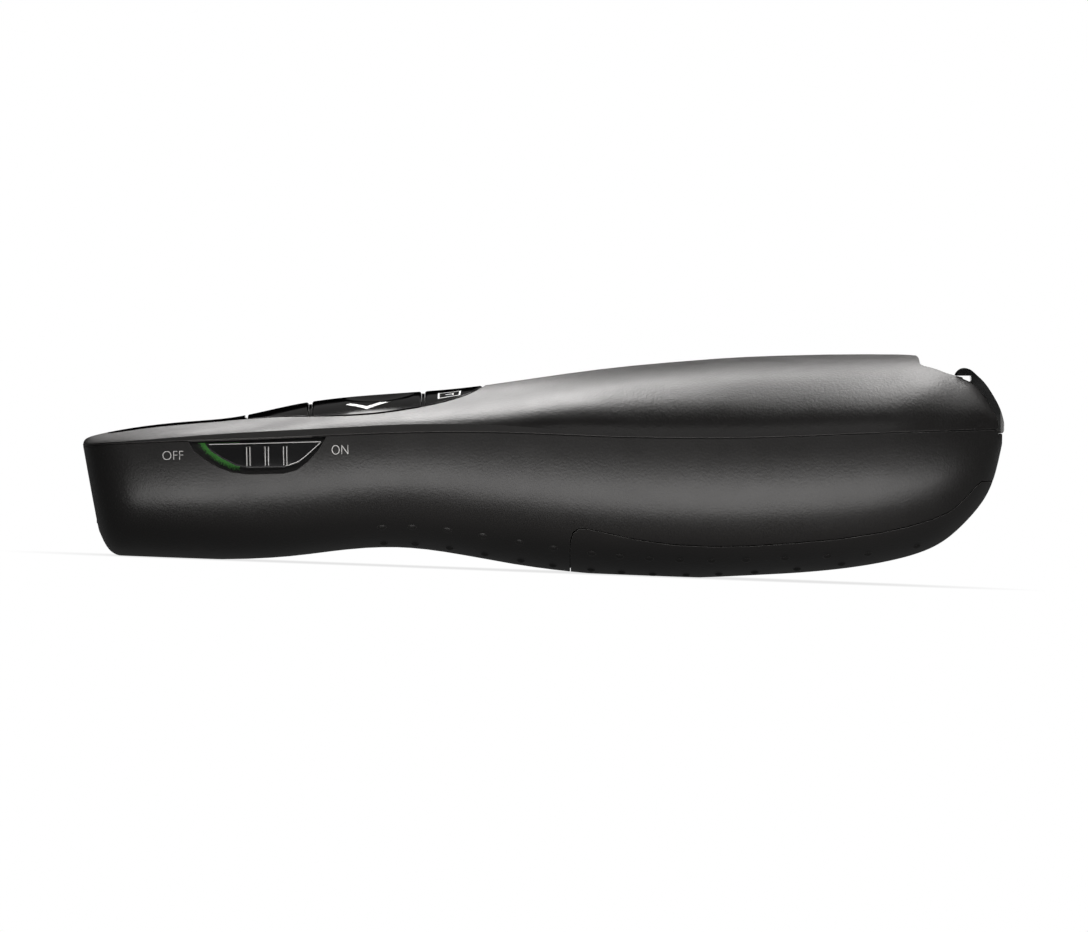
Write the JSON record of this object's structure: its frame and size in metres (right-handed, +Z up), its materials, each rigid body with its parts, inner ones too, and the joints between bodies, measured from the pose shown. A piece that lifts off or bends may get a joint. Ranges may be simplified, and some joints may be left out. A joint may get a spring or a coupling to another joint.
{
  "type": "presentation clicker",
  "caption": "Hand-held wireless presentation clicker: curved shell, gloss arrow, laser and screen keys, power slider, hinged battery door and a USB receiver stored in the tail.",
  "frame": {"origin": "centre of the bounding box in plan, on the table plane the clicker rests on", "axes": "+X from the laser end at the nose to the receiver at the tail, +Z up, +Y to the user's right when the nose points away"},
  "size_m": [0.1154, 0.0378, 0.0289],
  "materials": {
    "body_matte": "fine soft-touch grain",
    "key_gloss": "polished",
    "slider_gloss": "polished",
    "inner_plastic": "moulded",
    "switch_plastic": "moulded",
    "circuit_board": "solder mask",
    "chip_black": "moulded",
    "plated_steel": "nickel plated",
    "led_white": "moulded",
    "clear_plastic": "polished",
    "window_dark": "polished",
    "turned_brass": "turned",
    "flag_green": "painted",
    "cell_jacket": "printed jacket",
    "gold_plate": "gold plated"
  },
  "bodies": {
    "housing": {"top_cover": "body_matte", "bottom_cover": "body_matte", "key_bezel": "key_gloss", "laser_key_switch": "switch_plastic", "previous_key_switch": "switch_plastic", "next_key_switch": "switch_plastic", "slideshow_key_switch": "switch_plastic", "blank_screen_key_switch": "switch_plastic", "battery_tray": "inner_plastic", "slide_switch": "inner_plastic", "main_board": "circuit_board", "radio_chip": "chip_black", "crystal": "plated_steel", "status_led": "led_white", "status_light_pipe": "clear_plastic", "power_flag": "flag_green", "laser_window": "window_dark", "laser_lens": "clear_plastic", "laser_barrel": "turned_brass", "laser_diode": "plated_steel", "battery_left": "cell_jacket", "battery_right": "cell_jacket", "contact_positive": "plated_steel", "contact_negative": "plated_steel", "contact_bridge": "plated_steel", "spring_negative": "plated_steel", "spring_bridge": "plated_steel", "housing_screw": "plated_steel", "board_screw_front": "plated_steel", "board_screw_rear": "plated_steel"},
    "laser_key_body": {"laser_key": "key_gloss", "laser_key_plunger": "inner_plastic"},
    "previous_key_body": {"previous_key": "key_gloss", "previous_key_plunger": "inner_plastic"},
    "next_key_body": {"next_key": "key_gloss", "next_key_plunger": "inner_plastic"},
    "slideshow_key_body": {"slideshow_key": "key_gloss", "slideshow_key_plunger": "inner_plastic"},
    "blank_screen_key_body": {"blank_screen_key": "key_gloss", "blank_screen_key_plunger": "inner_plastic"},
    "power_switch": {"power_slider": "slider_gloss", "switch_lever": "inner_plastic"},
    "door": {"battery_door": "body_matte"},
    "receiver": {"receiver_housing": "inner_plastic", "receiver_end_cap": "key_gloss", "receiver_board": "circuit_board", "usb_shell": "plated_steel", "usb_tongue": "inner_plastic", "usb_contact_1": "gold_plate", "usb_contact_2": "gold_plate", "usb_contact_3": "gold_plate", "usb_contact_4": "gold_plate"}
  },
  "joints": [
    {"name": "laser_press", "type": "slide", "parent": "housing", "child": "laser_key_body", "axis": [0.056, 0, -0.9984], "range_m": [0, 0.0006], "stiffness_N_per_m": 600},
    {"name": "previous_press", "type": "slide", "parent": "housing", "child": "previous_key_body", "axis": [0.056, 0, -0.9984], "range_m": [0, 0.0006], "stiffness_N_per_m": 600},
    {"name": "next_press", "type": "slide", "parent": "housing", "child": "next_key_body", "axis": [0.056, 0, -0.9984], "range_m": [0, 0.0006], "stiffness_N_per_m": 600},
    {"name": "slideshow_press", "type": "slide", "parent": "housing", "child": "slideshow_key_body", "axis": [0.056, 0, -0.9984], "range_m": [0, 0.0006], "stiffness_N_per_m": 600},
    {"name": "blank_screen_press", "type": "slide", "parent": "housing", "child": "blank_screen_key_body", "axis": [0.056, 0, -0.9984], "range_m": [0, 0.0006], "stiffness_N_per_m": 600},
    {"name": "power_slide", "type": "slide", "parent": "housing", "child": "power_switch", "axis": [-0.9984, 0, -0.056], "range_m": [0, 0.0018]},
    {"name": "door_hinge", "type": "hinge", "parent": "housing", "child": "door", "pos_m": [0.00399, 0, 0.00017], "axis": [0, 1, 0], "range_deg": [0, 45]},
    {"name": "receiver_slide", "type": "slide", "parent": "housing", "child": "receiver", "axis": [0.9984, 0, 0.056], "range_m": [0, 0.04]}
  ]
}
